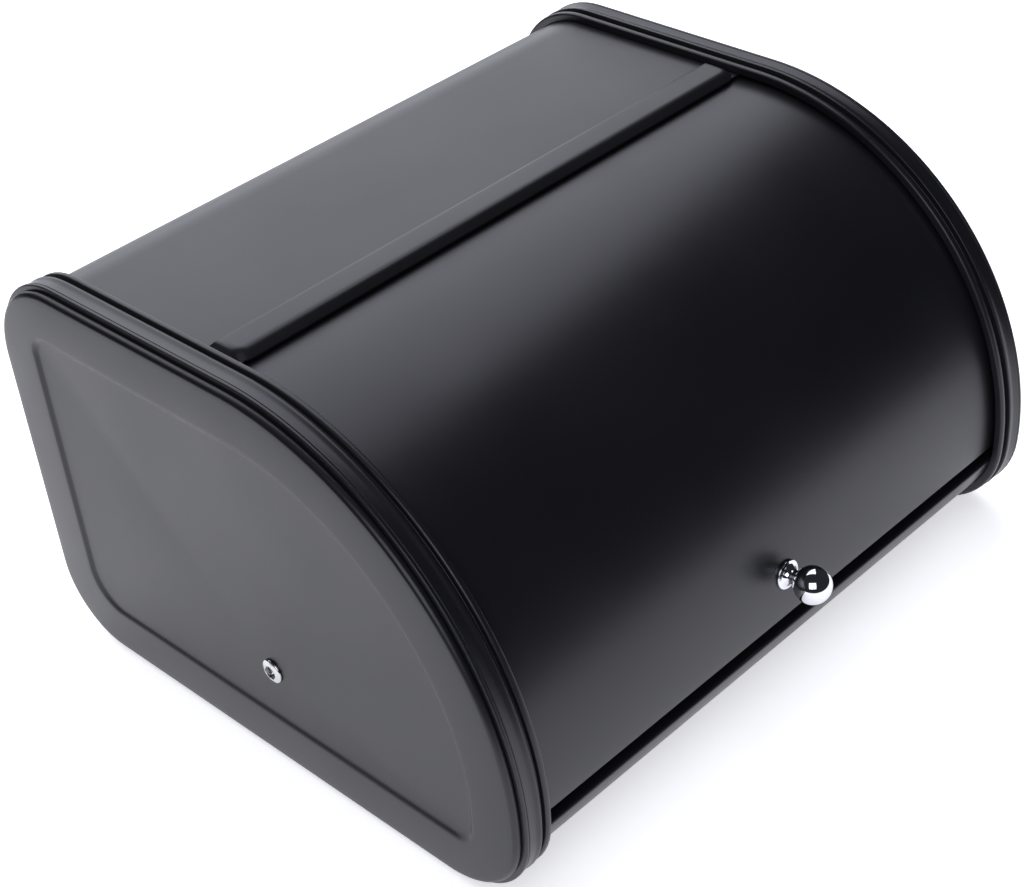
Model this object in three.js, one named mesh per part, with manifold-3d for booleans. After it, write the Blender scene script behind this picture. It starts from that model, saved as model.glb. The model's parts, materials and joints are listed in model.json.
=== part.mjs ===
// Roll-top bread bin: a folded steel sheet between two pressed D-shaped end panels, with a curved
// lid that turns about the centre of its own arc and rolls back under the top.
// Millimetres. X runs along the bin, -Y is the front, +Z is up, the bin stands on z = 0.
import * as THREE from 'three';
import { mergeVertices } from 'three/addons/utils/BufferGeometryUtils.js';
import Module from 'manifold-3d';

const wasm = await Module();
wasm.setup();

// ---- overall sizes ----
const bodyLength = 298.1;        // over the outer faces of the two end panels
const bodyDepth = 260;           // over the rims, front to back
const lidArcRadius = 124;        // rim radius about the pivot, in front
const pivotHeight = 47.3;        // pivot line above the ground
const backTopRadius = 40;        // rim corners
const backBottomRadius = 32;
const frontBottomRadius = 39;

// ---- sheet metal ----
const sheet = 0.6;
const armSheet = 1.0;
const rimProud = 4;              // rims stand this far out from the body sheet
const lidDrop = 1.4;             // outside of the lid below the outside of the body sheet
const seat = 0.3;                // gap between pieces that lie against each other

// ---- end panel ----
const fieldMargin = 21.2;        // rim to the sunk field, over the top and the front
const fieldMarginBottom = 22.6;
const fieldMarginBack = 23.4;
const fieldDrop = 1.2;           // the middle of the panel is pressed in by this much
const fieldSlope = 4.3;          // width of the soft step down to the field
const fieldCorners = { backTop: 8, backBottom: 15, frontBottom: 8 };
const edgeRadius = 2.9;          // the panel's margin rolls over into its edge
const edgeInset = 1.9;           // crest of that edge, below the rim
const edgeHem = 0.7;             // the edge closes down onto the band over this width
const hemDrop = 0.25;

// ---- rim band ----
const bandWidth = 17;            // outer face of the end panel to the band's inner edge
const flangeReach = 0.8;         // the band's flange runs this far in under the panel's edge
const rollWidth = 1.5;           // outermost roll, which the bin stands on
const notchWidth = 0.2;
const notchDrop = 0.5;           // fine line between roll and cove
const coveWidth = 3.8;
const coveDrop = 1.2;
const coveRise = 1.4;            // width of the cove's step up to the ridge
const ridgeWidth = 1.2;
const ridgeDrop = 0.2;
const creaseDrop = 2.6;          // deep crease between ridge and inner bead
const innerBeadWidth = 2.9;
const innerBeadDrop = 0.5;

// ---- header strip ----
const headerFront = 8.35;        // front of the header behind the pivot line
const headerDepth = 17.8;
const headerRise = 3.3;          // above the top sheet
const headerLip = 3.9;           // height of the front lip
const headerSlope = 3.2;         // its sides lean in this far
const headerCorner = 6.5;        // rounded corners, seen from above
const headerEndGap = 0.6;        // to the rim band

// ---- sill and lid ----
const sillHeight = 31.2;
const sillFold = 2.2;
const sillLedge = 11;
const lidLowAngle = -5.4;        // degrees above the pivot line's level, in front
const lidHighAngle = 99;
const lidRail = 6;               // lid edge folded inwards
const lidEdgeInset = 6.8;        // lid ends below the rim band, from the panel's outer face

// ---- lid arms ----
const armInset = 7.5;            // arm's outer face, from the panel's sunk field
const armFlange = 8;
const armHubRadius = 16;

// ---- pivots ----
const postRadius = 3.5;
const postHeadRadius = 5;
const postHeadHeight = 2;
const socketAcross = 5;          // hexagon across flats
const socketDepth = 1.6;
const runClearance = 0.08;       // post in the arm, all round
const spacerRadius = 6.5;
const washerRadius = 7;
const washerThickness = 1;
const screwRadius = 1.9;
const screwHeadRadius = 4.2;
const screwHeadHeight = 2;
const postBoreDepth = 7;
const slotWidth = 0.8;           // driver slot in the screw heads
const slotDepth = 0.8;

// ---- knob ----
const knobAngle = 4.5;             // degrees above the pivot line's level
const knobBallRadius = 7.3;
const knobReach = 12;            // ball centre out from the lid
const knobBaseRadius = 5.3;
const knobNeckRadius = 2.9;
const knobScrewRadius = 1.5;
const knobBoreDepth = 8;
const knobWasherRadius = 4.5;
const knobScrewHeadRadius = 3.2;
const knobScrewHeadHeight = 1.8;

// ---- worked out ----
const degrees = THREE.MathUtils.degToRad;
const halfLength = bodyLength / 2;
const bodyHeight = pivotHeight + lidArcRadius;
const lidOuterRadius = lidArcRadius - rimProud - lidDrop;
const lidInnerRadius = lidOuterRadius - sheet;
const backReach = bodyDepth - lidArcRadius;
const knobFront = (lidOuterRadius + knobReach) * Math.cos(degrees(knobAngle)) + knobBallRadius;
const pivotY = (knobFront - backReach) / 2;  // the origin lies under the middle of the whole box
const backY = pivotY + backReach;
const pivot = new THREE.Vector2(pivotY, pivotHeight);

// ---- materials ----
function finish(color, roughness, metalness) {
  return new THREE.MeshStandardMaterial({ color, roughness, metalness });
}
const blackPaint = finish(0x3a3b3f, 0.4, 0.2);
const lidPaint = finish(0x34353a, 0.35, 0.2);
const polishedChrome = finish(0xd8d8dc, 0.08, 1);
const brightNickel = finish(0xb9b6b0, 0.2, 1);
const zincSteel = finish(0xa9abad, 0.35, 1);
const whiteNylon = finish(0xe6e3da, 0.6, 0);
const redFibre = finish(0x7a2f27, 0.8, 0);

// ---- helpers ----
function arcPoints(center, radius, fromDegrees, toDegrees, steps) {
  const points = [];
  for (let i = 0; i <= steps; i += 1) {
    const angle = degrees(fromDegrees + ((toDegrees - fromDegrees) * i) / steps);
    const reach = new THREE.Vector2(Math.cos(angle), Math.sin(angle)).multiplyScalar(radius);
    points.push(reach.add(center));
  }
  return points;
}

// Closed outline of the bin's D shape in (Y, Z), a given inset inside the rim. It starts at the
// top above the pivot, and runs down the front, along the bottom, up the back and home again.
const frontSteps = 18;
const insetCorners = (inset) => ({
  backTop: backTopRadius - inset,
  backBottom: backBottomRadius - inset,
  frontBottom: frontBottomRadius - inset,
});

function outline(inset, corners = insetCorners(inset), bottomInset = inset, backInset = inset) {
  const radius = lidArcRadius - inset;
  const lowZ = bottomInset + corners.frontBottom;
  const reach = radius - corners.frontBottom;
  const lowCenter = new THREE.Vector2(pivotY - Math.sqrt(reach ** 2 - (pivotHeight - lowZ) ** 2), lowZ);
  const arcEnd = 180 + THREE.MathUtils.radToDeg(Math.asin((pivotHeight - lowZ) / reach));
  const right = backY - backInset;
  const backLow = new THREE.Vector2(right - corners.backBottom, bottomInset + corners.backBottom);
  const backHigh = new THREE.Vector2(right - corners.backTop, bodyHeight - inset - corners.backTop);
  return [
    ...arcPoints(pivot, radius, 90, arcEnd, frontSteps).slice(0, -1),
    ...arcPoints(lowCenter, corners.frontBottom, arcEnd, 270, 8),
    ...arcPoints(backLow, corners.backBottom, 270, 360, 6),
    ...arcPoints(backHigh, corners.backTop, 0, 90, 7),
  ];
}

// Ring about the pivot with one point for each outline point, in the same direction.
function pivotRing(radius) {
  return outline(0).map((point) => {
    const direction = point.clone().sub(pivot).normalize();
    return direction.multiplyScalar(radius).add(pivot);
  });
}

function signedVolume(geometry) {
  const position = geometry.getAttribute('position');
  const index = geometry.getIndex();
  const [a, b, c] = [new THREE.Vector3(), new THREE.Vector3(), new THREE.Vector3()];
  let volume = 0;
  for (let i = 0; i < index.count; i += 3) {
    a.fromBufferAttribute(position, index.getX(i));
    b.fromBufferAttribute(position, index.getX(i + 1));
    c.fromBufferAttribute(position, index.getX(i + 2));
    volume += a.dot(b.cross(c)) / 6;
  }
  return volume;
}

// Solid hoop through a closed series of rings. Each ring is { points, x }.
function ringSolid(rings) {
  const count = rings[0].points.length;
  const vertices = rings.flatMap(({ points, x }) => points.flatMap((point) => [x, point.x, point.y]));
  const index = [];
  rings.forEach((ring, i) => {
    const here = i * count;
    const next = ((i + 1) % rings.length) * count;
    for (let j = 0; j < count; j += 1) {
      const k = (j + 1) % count;
      index.push(here + j, here + k, next + k, here + j, next + k, next + j);
    }
  });
  const geometry = new THREE.BufferGeometry();
  geometry.setAttribute('position', new THREE.Float32BufferAttribute(vertices, 3));
  geometry.setIndex(index);
  if (signedVolume(geometry) < 0) {
    index.reverse();
    geometry.setIndex(index);
  }
  return geometry;
}

// Sheet metal along a path: the path is the outer face, and the sheet lies on its right-hand side.
function sheetOutline(path, thickness) {
  const inner = path.map((point, i) => {
    const before = path[Math.max(i - 1, 0)];
    const after = path[Math.min(i + 1, path.length - 1)];
    const into = point.clone().sub(before).normalize();
    const out = after.clone().sub(point).normalize();
    if (i === 0) into.copy(out);
    if (i === path.length - 1) out.copy(into);
    const normal = new THREE.Vector2(into.y + out.y, -into.x - out.x).normalize();
    const miter = thickness / normal.dot(new THREE.Vector2(into.y, -into.x));
    return point.clone().addScaledVector(normal, miter);
  });
  return [...path, ...inner.reverse()];
}

// Prism along X with its outline in (Y, Z).
function alongX(points, fromX, toX, holes = []) {
  const shape = new THREE.Shape(points);
  holes.forEach((hole) => shape.holes.push(new THREE.Path(hole)));
  const geometry = new THREE.ExtrudeGeometry(shape, { depth: toX - fromX, bevelEnabled: false });
  const turn = new THREE.Matrix4().makeBasis(
    new THREE.Vector3(0, 1, 0),
    new THREE.Vector3(0, 0, 1),
    new THREE.Vector3(1, 0, 0),
  );
  geometry.applyMatrix4(turn);
  geometry.translate(fromX, 0, 0);
  return geometry;
}

function toSolid(geometry) {
  const bare = geometry.clone();
  bare.deleteAttribute('normal');
  bare.deleteAttribute('uv');
  const merged = mergeVertices(bare, 1e-4);
  return new wasm.Manifold(new wasm.Mesh({
    numProp: 3,
    vertProperties: new Float32Array(merged.getAttribute('position').array),
    triVerts: new Uint32Array(merged.getIndex().array),
  }));
}

function fromSolid(solid) {
  const { vertProperties, triVerts } = solid.getMesh();
  const geometry = new THREE.BufferGeometry();
  geometry.setAttribute('position', new THREE.BufferAttribute(vertProperties, 3));
  geometry.setIndex(new THREE.BufferAttribute(triVerts, 1));
  return geometry;
}

// Regular outline whose flats, not corners, lie at the given radius, for a hole round a shaft.
function holeOutline(center, radius, sides = 24) {
  return arcPoints(center, radius / Math.cos(Math.PI / sides), 0, 360, sides).slice(0, -1);
}

function lathe(profile, segments = 24) {
  return new THREE.LatheGeometry(profile.map(([radius, y]) => new THREE.Vector2(radius, y)), segments);
}

const bin = new THREE.Group();

function addMesh(parent, name, geometry, material) {
  const mesh = new THREE.Mesh(geometry, material);
  mesh.name = name;
  parent.add(mesh);
}

// ---- end panels ----
// The panel's section runs from the middle out to the hem of its edge along the outside, and
// back along the inside. depth is measured inwards from the panel's outer face.
const postHoleRadius = postRadius + seat;
const crestDepth = edgeRadius;
const fieldX = halfLength - fieldDrop;
const hemEnd = crestDepth + edgeHem;

function endPanel(side) {
  const ring = (depth, points) => ({ points, x: side * (halfLength - depth) });
  const field = (depth, share) => {
    const slope = share * fieldSlope;
    const [bottom, back] = [fieldMarginBottom + slope, fieldMarginBack + slope];
    return ring(depth, outline(fieldMargin + slope, fieldCorners, bottom, back));
  };
  const edge = (radius, angle) => ring(
    crestDepth - radius * Math.cos(degrees(angle)),
    outline(edgeInset + edgeRadius - radius * Math.sin(degrees(angle))),
  );
  const inside = edgeRadius - sheet;
  const plate = ringSolid([
    ring(fieldDrop, pivotRing(postHoleRadius / 2)),
    field(fieldDrop, 1),
    field(0.85 * fieldDrop, 0.75),
    field(0.15 * fieldDrop, 0.25),
    field(0, 0),
    edge(edgeRadius, 0),
    edge(edgeRadius, 25),
    edge(edgeRadius, 50),
    edge(edgeRadius, 70),
    edge(edgeRadius, 90),
    ring(hemEnd, outline(edgeInset + hemDrop)),
    ring(hemEnd, outline(edgeInset + hemDrop + sheet)),
    edge(inside, 90),
    edge(inside, 45),
    edge(inside, 0),
    field(sheet, 0),
    field(fieldDrop + sheet, 1),
    ring(fieldDrop + sheet, pivotRing(postHoleRadius / 2)),
  ]);
  const hole = new THREE.CylinderGeometry(postHoleRadius, postHoleRadius, 4 * fieldDrop, 24);
  hole.rotateZ(Math.PI / 2);
  hole.translate(side * fieldX, pivotY, pivotHeight);
  return fromSolid(toSolid(plate).subtract(toSolid(hole)));
}

// ---- rim bands ----
// Section of the hoop from the flange under the panel's edge to the wall beside the lid, as
// [depth from the end panel's outer face, inset from the rim].
const flangeInset = edgeInset + hemDrop + sheet + seat;
const rollStart = hemEnd + seat;
const notchStart = rollStart + rollWidth;
const coveStart = notchStart + notchWidth;
const coveEnd = coveStart + coveWidth;
const ridgeStart = coveEnd + coveRise;
const creaseStart = ridgeStart + ridgeWidth;
const innerBeadStart = bandWidth - innerBeadWidth;
const bandFoot = rimProud - seat;
const bandOuter = [
  [crestDepth - flangeReach, flangeInset],
  [rollStart, flangeInset],
  [rollStart + 0.1 * rollWidth, 0.5 * flangeInset],
  [rollStart + 0.2 * rollWidth, 0.12 * flangeInset],
  [rollStart + 0.4 * rollWidth, 0],
  [rollStart + 0.88 * rollWidth, 0],
  [notchStart, 0.3 * notchDrop],
  [notchStart + 0.6 * notchWidth, notchDrop],
  [coveStart, 0.4 * notchDrop],
  [coveStart + 0.4 * coveWidth, 0.45 * coveDrop],
  [coveStart + 0.8 * coveWidth, 0.95 * coveDrop],
  [coveEnd, coveDrop],
  [coveEnd + 0.6 * coveRise, 0.6 * coveDrop],
  [ridgeStart, ridgeDrop + 0.1],
  [ridgeStart + 0.3 * ridgeWidth, ridgeDrop],
  [ridgeStart + 0.8 * ridgeWidth, ridgeDrop],
  [creaseStart, ridgeDrop + 0.7],
  [creaseStart + 0.3, creaseDrop],
  [innerBeadStart, creaseDrop],
  [innerBeadStart + 0.1 * innerBeadWidth, innerBeadDrop + 0.9],
  [innerBeadStart + 0.35 * innerBeadWidth, innerBeadDrop + 0.1],
  [innerBeadStart + 0.65 * innerBeadWidth, innerBeadDrop],
  [innerBeadStart + 0.9 * innerBeadWidth, innerBeadDrop + 0.5],
  [bandWidth, innerBeadDrop + 1.4],
  [bandWidth, bandFoot],
];
const bandInner = [
  [bandWidth - sheet, bandFoot],
  [bandWidth - sheet, innerBeadDrop + 1.8],
  [bandWidth - 0.5 * innerBeadWidth, innerBeadDrop + 1.1],
  [innerBeadStart + 0.2 * innerBeadWidth, creaseDrop + sheet],
  [creaseStart, creaseDrop + sheet],
  [coveEnd, coveDrop + sheet],
  [coveStart, 2 * notchDrop + 0.3],
  [rollStart + sheet, notchDrop + sheet],
  [rollStart + sheet, flangeInset + sheet],
  [crestDepth - flangeReach, flangeInset + sheet],
];

function rimBand(side) {
  return ringSolid([...bandOuter, ...bandInner].map(([depth, inset]) => ({
    points: outline(inset),
    x: side * (halfLength - depth),
  })));
}

// ---- body shell ----
const shellEnd = halfLength - bandWidth + 8;     // the sheet ends inside the rim bands
const topZ = bodyHeight - rimProud;
const headerY = pivotY + headerFront;

// The sheet follows the rim from the sill round to the top. The sill's edge is folded in: the fold
// is an arc inside the front corner, tangent to it, that ends level in a ledge.
function shellPath() {
  const rim = outline(rimProud).slice(frontSteps);
  const corner = frontBottomRadius - rimProud;
  const cornerReach = lidArcRadius - frontBottomRadius;
  const cornerY = pivotY - Math.sqrt(cornerReach ** 2 - (pivotHeight - frontBottomRadius) ** 2);
  const foldReach = corner - sillFold;
  const foldDrop = frontBottomRadius - (sillHeight - sillFold);
  const foldCenter = new THREE.Vector2(
    cornerY - Math.sqrt(foldReach ** 2 - foldDrop ** 2),
    sillHeight - sillFold,
  );
  const foldAngle = 180 + THREE.MathUtils.radToDeg(Math.asin(foldDrop / foldReach));
  const fold = arcPoints(foldCenter, sillFold, 90, foldAngle, 6);
  const joined = rim.findIndex((point) => point.y < fold.at(-1).y - 1);
  return [
    new THREE.Vector2(foldCenter.x + sillLedge, sillHeight),
    ...fold,
    ...rim.slice(joined),
    new THREE.Vector2(headerY + sheet + seat, topZ),
  ];
}

function bodyShell() {
  // turned round, the path has the inside of the bin on its right
  return alongX(sheetOutline(shellPath().reverse(), sheet), -shellEnd, shellEnd);
}

// ---- header strip ----
const headerHalf = halfLength - bandWidth - headerEndGap;
const headerZ = topZ + headerRise;

function headerPlan(inset) {
  const plan = new THREE.Shape();
  const radius = headerCorner - inset;
  const cornerX = headerHalf - headerCorner;
  const frontY = headerY + headerCorner;
  const back = headerY + headerDepth - inset;
  plan.moveTo(-headerHalf + inset, back);
  plan.lineTo(-headerHalf + inset, frontY);
  plan.absarc(-cornerX, frontY, radius, Math.PI, 1.5 * Math.PI);
  plan.absarc(cornerX, frontY, radius, 1.5 * Math.PI, 2 * Math.PI);
  plan.lineTo(headerHalf - inset, back);
  return plan;
}

// The block under the strip's skin: its four sides lean in on the way up to a flat top.
function headerBlock(inset, top) {
  const block = new THREE.ExtrudeGeometry(headerPlan(headerSlope + inset), {
    depth: headerLip,
    bevelThickness: headerRise,
    bevelSize: headerSlope,
    bevelSegments: 1,
    curveSegments: 5,
  });
  return toSolid(block.translate(0, 0, top - headerLip - headerRise));
}

// A shallow pressed cap: its front lip hangs over the end of the top sheet, and its sides and
// back stand on that sheet.
function headerStrip() {
  const below = new THREE.BoxGeometry(bodyLength, 2 * headerDepth + 2, 2 * headerLip);
  below.translate(0, headerY + headerDepth / 2, headerZ - 2 * headerLip);
  const overSheet = new THREE.BoxGeometry(bodyLength, 2 * headerDepth, 2 * headerLip);
  overSheet.translate(0, headerY + sheet + headerDepth, topZ + seat - headerLip);
  return fromSolid(headerBlock(0, headerZ)
    .subtract(headerBlock(sheet, headerZ - sheet))
    .subtract(toSolid(below))
    .subtract(toSolid(overSheet)));
}

// ---- lid ----
const lidHalf = halfLength - lidEdgeInset;
const onLid = (angle, radius) => new THREE.Vector2(
  pivotY - radius * Math.cos(degrees(angle)),
  pivotHeight + radius * Math.sin(degrees(angle)),
);

function rollLid() {
  const foldIn = onLid(lidLowAngle, lidOuterRadius - lidRail);
  const path = [
    new THREE.Vector2(foldIn.x, sillHeight + seat),
    new THREE.Vector2(foldIn.x, foldIn.y),
    ...arcPoints(pivot, lidOuterRadius, 180 - lidLowAngle, 180 - lidHighAngle, 26),
  ];
  const skin = toSolid(alongX(sheetOutline(path, sheet), -lidHalf, lidHalf));
  const hole = new THREE.CylinderGeometry(knobScrewRadius + seat, knobScrewRadius + seat, 4 * lidRail, 20);
  hole.applyMatrix4(knobFrame());
  return fromSolid(skin.subtract(toSolid(hole)));
}

// Local +Y of this frame points out of the lid at the knob, and its origin is on the lid's face.
function knobFrame() {
  const place = onLid(knobAngle, lidOuterRadius);
  const turn = new THREE.Matrix4().makeRotationX(Math.PI - degrees(knobAngle));
  return turn.setPosition(0, place.x, place.y);
}

// ---- lid arms ----
const armOuterRadius = lidInnerRadius - seat;

function lidArm(side) {
  const front = 180 - lidLowAngle - 2;
  const rear = 180 - lidHighAngle + 1;
  const rim = arcPoints(pivot, armOuterRadius, front, rear, 20);
  const tangent = THREE.MathUtils.radToDeg(Math.acos(armHubRadius / armOuterRadius));
  const sector = [...rim, ...arcPoints(pivot, armHubRadius, rear - tangent, front + tangent - 360, 8)];
  const across = (from, to) => [side * (fieldX - from), side * (fieldX - to)].sort((a, b) => a - b);
  const hole = holeOutline(pivot, postRadius + runClearance);
  const plate = alongX(sector, ...across(armInset, armInset + armSheet), [hole]);
  const flange = alongX(sheetOutline(rim, armSheet), ...across(armInset, armInset + armFlange));
  return fromSolid(toSolid(plate).add(toSolid(flange)));
}

// ---- turned pieces, local +Y points out of the bin ----
const ringProfile = (inner, outer, low, high) => [
  [inner, low],
  [outer, low],
  [outer, high],
  [inner, high],
  [inner, low],
];

// Pan-head screw with its head at the low end, and a driver slot cut across the head.
function slottedScrew(headRadius, headHeight, shankRadius, headTop, tip) {
  const low = headTop - headHeight;
  const screw = lathe([
    [0, low],
    [0.8 * headRadius, low],
    [headRadius, low + 0.3 * headHeight],
    [headRadius, headTop],
    [shankRadius, headTop],
    [shankRadius, tip],
    [0, tip],
  ]);
  const slot = new THREE.BoxGeometry(1.4 * headRadius, 2 * slotDepth, slotWidth);
  slot.translate(0, low, 0);
  return fromSolid(toSolid(screw).subtract(toSolid(slot)));
}

const postEnd = -(armInset + armSheet + seat);
const postBoreTop = postEnd + postBoreDepth;
const postWasherTop = postEnd - seat;
const postWasherLow = postWasherTop - washerThickness;

function pivotPost() {
  const top = seat + postHeadHeight;
  const post = lathe([
    [0, postBoreTop],
    [screwRadius + seat, postBoreTop],
    [screwRadius + seat, postEnd],
    [postRadius, postEnd],
    [postRadius, seat],
    [postHeadRadius, seat],
    [postHeadRadius, seat + 0.4 * postHeadHeight],
    [0.9 * postHeadRadius, seat + 0.8 * postHeadHeight],
    [0.7 * postHeadRadius, top],
    [0, top],
  ]);
  const socketRadius = socketAcross / 2 / Math.cos(Math.PI / 6);
  const socket = new THREE.CylinderGeometry(socketRadius, socketRadius, 2 * socketDepth, 6);
  socket.translate(0, top, 0);
  return fromSolid(toSolid(post).subtract(toSolid(socket)));
}

function knobBody() {
  const neckTop = knobReach - Math.sqrt(knobBallRadius ** 2 - knobNeckRadius ** 2);
  const start = -Math.acos(knobNeckRadius / knobBallRadius);
  const steps = 11;
  const ball = [];
  for (let i = 0; i < steps; i += 1) {
    const angle = start + ((Math.PI / 2 - start) * i) / steps;
    ball.push([knobBallRadius * Math.cos(angle), knobReach + knobBallRadius * Math.sin(angle)]);
  }
  return lathe([
    [0, knobBoreDepth],
    [knobScrewRadius + seat, knobBoreDepth],
    [knobScrewRadius + seat, seat],
    [knobBaseRadius, seat],
    [knobBaseRadius, seat + 0.7],
    [0.8 * knobBaseRadius, seat + 0.28 * neckTop],
    [1.1 * knobNeckRadius, seat + 0.55 * neckTop],
    ...ball,
    [0, knobReach + knobBallRadius],
  ], 32);
}

// ---- assembly ----
for (const [name, side] of [['left', -1], ['right', 1]]) {
  addMesh(bin, `${name}_end_panel`, endPanel(side), blackPaint);
  addMesh(bin, `${name}_rim_band`, rimBand(side), blackPaint);
  addMesh(bin, `${name}_lid_arm`, lidArm(side), lidPaint);
  const pivotGroup = new THREE.Group();
  pivotGroup.position.set(side * fieldX, pivotY, pivotHeight);
  pivotGroup.rotation.z = (-side * Math.PI) / 2;
  const spacer = ringProfile(postHoleRadius, spacerRadius, seat - armInset, -sheet - seat);
  const washer = ringProfile(screwRadius + seat, washerRadius, postWasherLow, postWasherTop);
  const screw = slottedScrew(
    screwHeadRadius,
    screwHeadHeight,
    screwRadius,
    postWasherLow - seat,
    postBoreTop - seat,
  );
  addMesh(pivotGroup, `${name}_pivot_post`, pivotPost(), brightNickel);
  addMesh(pivotGroup, `${name}_pivot_spacer`, lathe(spacer), whiteNylon);
  addMesh(pivotGroup, `${name}_pivot_washer`, lathe(washer), zincSteel);
  addMesh(pivotGroup, `${name}_pivot_screw`, screw, zincSteel);
  bin.add(pivotGroup);
}
addMesh(bin, 'body_shell', bodyShell(), blackPaint);
addMesh(bin, 'header_strip', headerStrip(), blackPaint);
addMesh(bin, 'roll_lid', rollLid(), lidPaint);

const knobGroup = new THREE.Group();
knobGroup.applyMatrix4(knobFrame());
const knobWasherTop = -sheet - seat;
const knobWasherLow = knobWasherTop - washerThickness;
const knobHole = knobScrewRadius + seat;
addMesh(knobGroup, 'knob', knobBody(), polishedChrome);
addMesh(
  knobGroup,
  'knob_washer',
  lathe(ringProfile(knobHole, knobWasherRadius, knobWasherLow, knobWasherTop)),
  redFibre,
);
addMesh(
  knobGroup,
  'knob_screw',
  slottedScrew(
    knobScrewHeadRadius,
    knobScrewHeadHeight,
    knobScrewRadius,
    knobWasherLow - seat,
    knobBoreDepth - seat,
  ),
  zincSteel,
);
bin.add(knobGroup);

export default bin;
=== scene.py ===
import json
import math
import bpy
from mathutils import Euler, Matrix, Vector


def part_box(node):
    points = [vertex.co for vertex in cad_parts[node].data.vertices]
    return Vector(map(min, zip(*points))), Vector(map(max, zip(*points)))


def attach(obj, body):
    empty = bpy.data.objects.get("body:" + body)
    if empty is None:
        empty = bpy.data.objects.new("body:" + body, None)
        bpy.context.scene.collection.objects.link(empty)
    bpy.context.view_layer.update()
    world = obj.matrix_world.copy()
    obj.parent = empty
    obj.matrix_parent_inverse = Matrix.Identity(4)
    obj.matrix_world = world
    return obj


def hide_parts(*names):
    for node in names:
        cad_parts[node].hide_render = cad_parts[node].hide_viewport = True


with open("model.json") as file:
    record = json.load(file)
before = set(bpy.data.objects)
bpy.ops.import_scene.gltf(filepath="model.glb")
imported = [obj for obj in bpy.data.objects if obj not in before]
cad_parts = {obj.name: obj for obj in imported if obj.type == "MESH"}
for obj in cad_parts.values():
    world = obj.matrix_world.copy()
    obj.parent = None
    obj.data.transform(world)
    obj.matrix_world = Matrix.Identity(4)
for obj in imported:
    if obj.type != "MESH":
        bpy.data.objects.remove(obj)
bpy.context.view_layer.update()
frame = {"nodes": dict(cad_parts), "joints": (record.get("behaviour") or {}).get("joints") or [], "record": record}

# Roll-top bread bin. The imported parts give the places, and finer pieces stand in for the pressed
# and turned ones. Metres, X along the bin, -Y is the front, +Z is up.
mm = 0.001

hinge = frame["joints"][0]
pivot = Vector(hinge["pos_m"])
sides = {"left": -1, "right": 1}
print("frame loaded:", len(frame["nodes"]), "parts")


def hexToLinear(colour):
    # sRGB hex to linear, by the sRGB curve
    channels = [int(colour[i:i + 2], 16) / 255 for i in (0, 2, 4)]
    linear = [c / 12.92 if c <= 0.04045 else ((c + 0.055) / 1.055) ** 2.4 for c in channels]
    return (*linear, 1.0)


def mmScale(size):
    # noise scale that gives a pattern of about this size in mm, on object coordinates
    return 1 / (size * mm)


def addNode(material, kind, settings=None, links=None):
    # settings and links name an input by its name or number; other settings are the node's own
    node = material.node_tree.nodes.new(kind)
    for name, value in (settings or {}).items():
        if isinstance(name, int) or name in node.inputs:
            node.inputs[name].default_value = value
        else:
            setattr(node, name, value)
    for name, source in (links or {}).items():
        material.node_tree.links.new(source, node.inputs[name])
    return node


def newMaterial(name, shader):
    # an empty material with one Principled shader, and the point on the piece to hang patterns on
    material = bpy.data.materials.new(name)
    material.use_nodes = True
    material.node_tree.nodes.clear()
    surface = addNode(material, "ShaderNodeBsdfPrincipled", shader)
    addNode(material, "ShaderNodeOutputMaterial", links={"Surface": surface.outputs["BSDF"]})
    place = addNode(material, "ShaderNodeTexCoord").outputs["Object"]
    return material, surface, place


def circlePoints(centre, radius, start, end, steps):
    points = []
    for i in range(steps + 1):
        angle = math.radians(start + (end - start) * i / steps)
        x = centre[0] + radius * math.cos(angle)
        y = centre[1] + radius * math.sin(angle)
        points.append(Vector((x, y)))
    return points


def roundedPath(corners, turnStep=14):
    # corners are (a, b, radius); an inner one with a radius becomes an arc tangent to its
    # neighbours, with a point about every turnStep degrees
    path = []
    last = len(corners) - 1
    for i, (a, b, radius) in enumerate(corners):
        here = Vector((a, b))
        if radius <= 0 or i in (0, last):
            path.append(here)
            continue
        before = Vector(corners[i - 1][:2]) - here
        after = Vector(corners[i + 1][:2]) - here
        reach = 0.49 * min(before.length, after.length)    # just under half of the shorter leg
        before.normalize()
        after.normalize()
        opening = before.angle(after)
        run = min(radius / math.tan(opening / 2), reach)
        bend = run * math.tan(opening / 2)
        centre = here + (before + after).normalized() * (bend / math.sin(opening / 2))
        start = here + before * run - centre
        end = here + after * run - centre
        turn = math.atan2(start.x * end.y - start.y * end.x, start.dot(end))
        steps = max(2, round(abs(math.degrees(turn)) / turnStep))
        for k in range(steps + 1):
            path.append(centre + Matrix.Rotation(turn * k / steps, 2) @ start)
    return path


def offsetPath(path, thickness):
    # the same path moved to its right-hand side, with mitred corners
    moved = []
    for i, point in enumerate(path):
        into = (point - path[i - 1]).normalized() if i else None
        out = (path[i + 1] - point).normalized() if i < len(path) - 1 else into
        into = into or out
        normal = Vector((into.y + out.y, -into.x - out.x)).normalized()
        moved.append(point + normal * thickness / normal.dot(Vector((into.y, -into.x))))
    return moved


def signedVolume(vertices, faces):
    volume = 0
    for face in faces:
        for i in range(1, len(face) - 1):
            a, b, c = (vertices[face[k]] for k in (0, i, i + 1))
            volume += a.dot(b.cross(c)) / 6
    return volume


def makePiece(name, vertices, faces, look, body, stands, smoothAngle=32):
    vertices = [Vector(v) for v in vertices]
    if signedVolume(vertices, faces) < 0:
        faces = [tuple(reversed(face)) for face in faces]
    mesh = bpy.data.meshes.new(name)
    mesh.from_pydata(vertices, [], faces)
    mesh.validate()
    mesh.shade_smooth()
    mesh.set_sharp_from_angle(angle=math.radians(smoothAngle))
    piece = bpy.data.objects.new(name, mesh)
    bpy.context.scene.collection.objects.link(piece)
    mesh.materials.append(look["material"])
    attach(piece, body)
    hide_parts(*stands)
    return piece


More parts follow.
